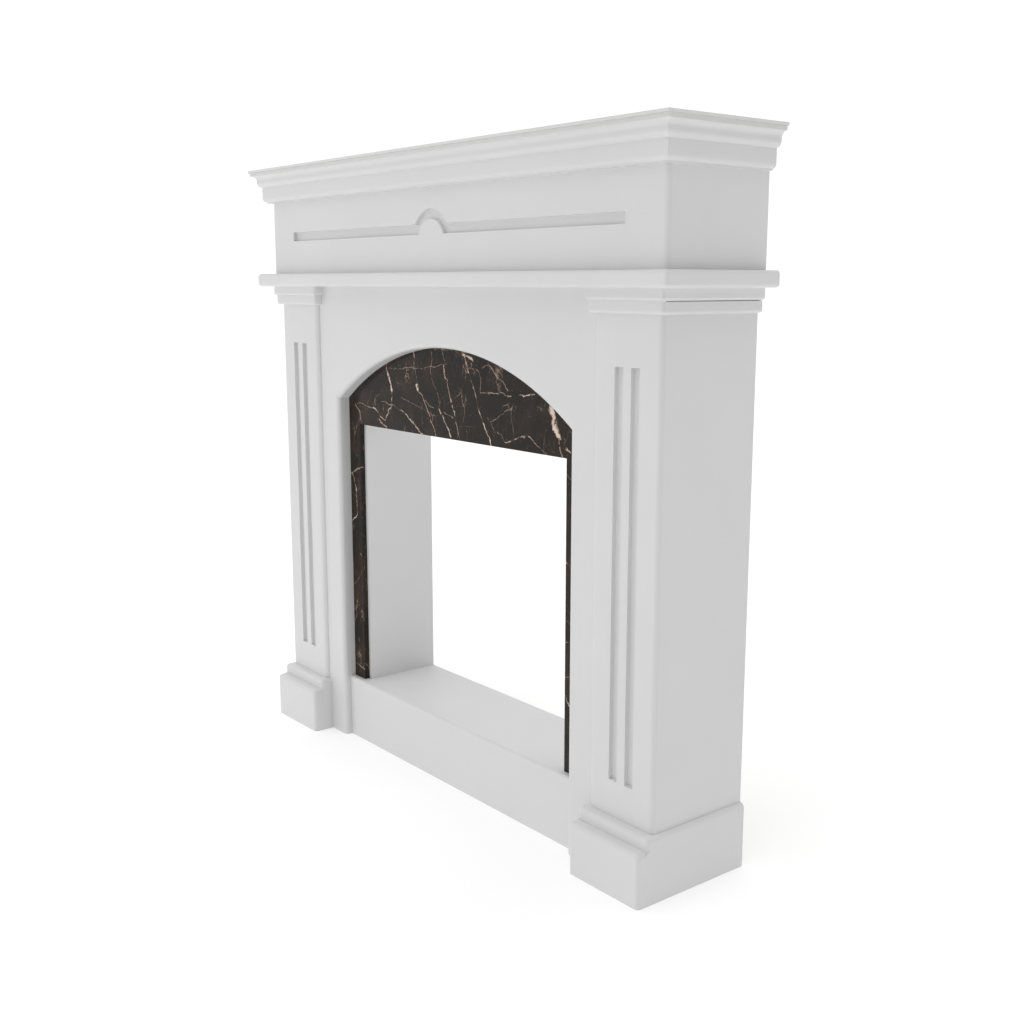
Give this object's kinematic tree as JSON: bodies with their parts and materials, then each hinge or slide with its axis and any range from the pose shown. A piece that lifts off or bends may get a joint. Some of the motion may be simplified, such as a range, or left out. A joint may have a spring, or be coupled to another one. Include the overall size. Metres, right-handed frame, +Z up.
{
  "type": "fireplace mantelpiece",
  "caption": "Painted fireplace mantelpiece with fluted pilasters, an arched opening, dark marble facing, mantel shelf, grooved frieze and crown moulding.",
  "frame": {"origin": "on the floor, in the middle of the crown's width and depth", "axes": "+X to the right as seen from the front, +Y into the wall behind, +Z up"},
  "size_m": [1.3716, 0.2794, 1.3208],
  "materials": {
    "white_paint": "satin white paint on board",
    "dark_marble": "polished dark brown marble with cream veins"
  },
  "bodies": {
    "root": {"top_board": "white_paint", "crown_front": "white_paint", "crown_return_left": "white_paint", "crown_return_right": "white_paint", "frieze_front": "white_paint", "frieze_side_left": "white_paint", "frieze_side_right": "white_paint", "mantel_shelf": "white_paint", "capital_upper_left": "white_paint", "capital_upper_right": "white_paint", "capital_lower_left": "white_paint", "capital_lower_right": "white_paint", "pilaster_front_left": "white_paint", "pilaster_front_right": "white_paint", "pilaster_outer_side_left": "white_paint", "pilaster_outer_side_right": "white_paint", "pilaster_inner_side_left": "white_paint", "pilaster_inner_side_right": "white_paint", "plinth_front_left": "white_paint", "plinth_front_right": "white_paint", "plinth_outer_side_left": "white_paint", "plinth_outer_side_right": "white_paint", "plinth_inner_side_left": "white_paint", "plinth_inner_side_right": "white_paint", "plinth_cap_left": "white_paint", "plinth_cap_right": "white_paint", "arch_panel": "white_paint", "marble_facing": "dark_marble", "firebox_side_left": "white_paint", "firebox_side_right": "white_paint", "firebox_head": "white_paint", "hearth_riser": "white_paint", "hearth_board": "white_paint"}
  },
  "joints": []
}
